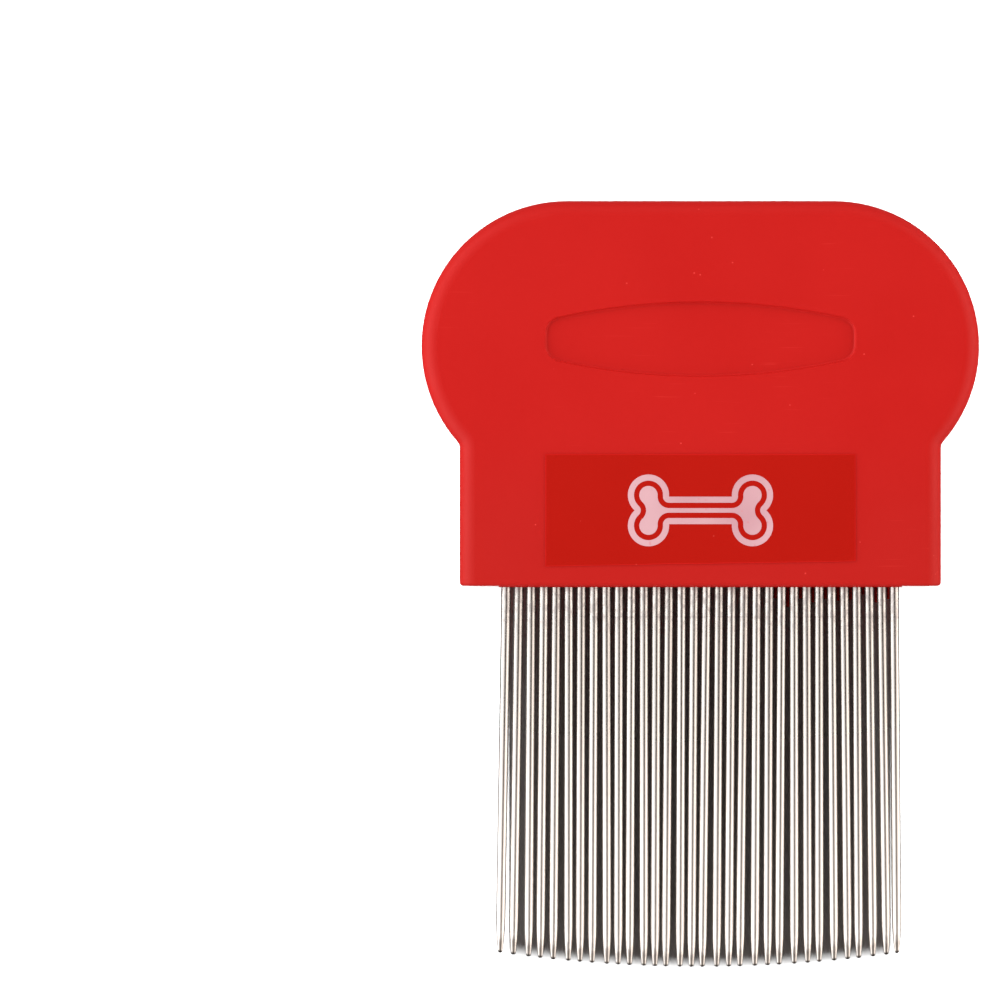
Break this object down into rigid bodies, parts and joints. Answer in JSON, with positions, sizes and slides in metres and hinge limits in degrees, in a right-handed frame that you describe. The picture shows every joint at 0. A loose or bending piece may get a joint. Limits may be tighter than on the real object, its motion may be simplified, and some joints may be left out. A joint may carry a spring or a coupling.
{
  "type": "flea comb",
  "caption": "Flea comb: a flat round-shouldered plastic handle with a thumb recess and a label, holding one close row of long steel pins with tapered tips on a shallow arc.",
  "frame": {"origin": "middle of the comb's footprint, level with the rear face that it lies on", "axes": "+X across the row of pins, +Y from the pin tips to the top of the handle, +Z out of the front face, which carries the label"},
  "size_m": [0.073, 0.1002, 0.0097],
  "materials": {
    "red_plastic": "satin moulded",
    "pin_steel": "polished",
    "label_film": "glossy",
    "label_ink": "printed ink"
  },
  "bodies": {
    "root": {"front_shell": "red_plastic", "rear_shell": "red_plastic", "pin_bar": "red_plastic", "label_film": "label_film", "label_print": "label_ink", "pin_01": "pin_steel", "pin_02": "pin_steel", "pin_03": "pin_steel", "pin_04": "pin_steel", "pin_05": "pin_steel", "pin_06": "pin_steel", "pin_07": "pin_steel", "pin_08": "pin_steel", "pin_09": "pin_steel", "pin_10": "pin_steel", "pin_11": "pin_steel", "pin_12": "pin_steel", "pin_13": "pin_steel", "pin_14": "pin_steel", "pin_15": "pin_steel", "pin_16": "pin_steel", "pin_17": "pin_steel", "pin_18": "pin_steel", "pin_19": "pin_steel", "pin_20": "pin_steel", "pin_21": "pin_steel", "pin_22": "pin_steel", "pin_23": "pin_steel", "pin_24": "pin_steel", "pin_25": "pin_steel", "pin_26": "pin_steel", "pin_27": "pin_steel", "pin_28": "pin_steel", "pin_29": "pin_steel", "pin_30": "pin_steel", "pin_31": "pin_steel", "pin_32": "pin_steel"}
  },
  "joints": []
}
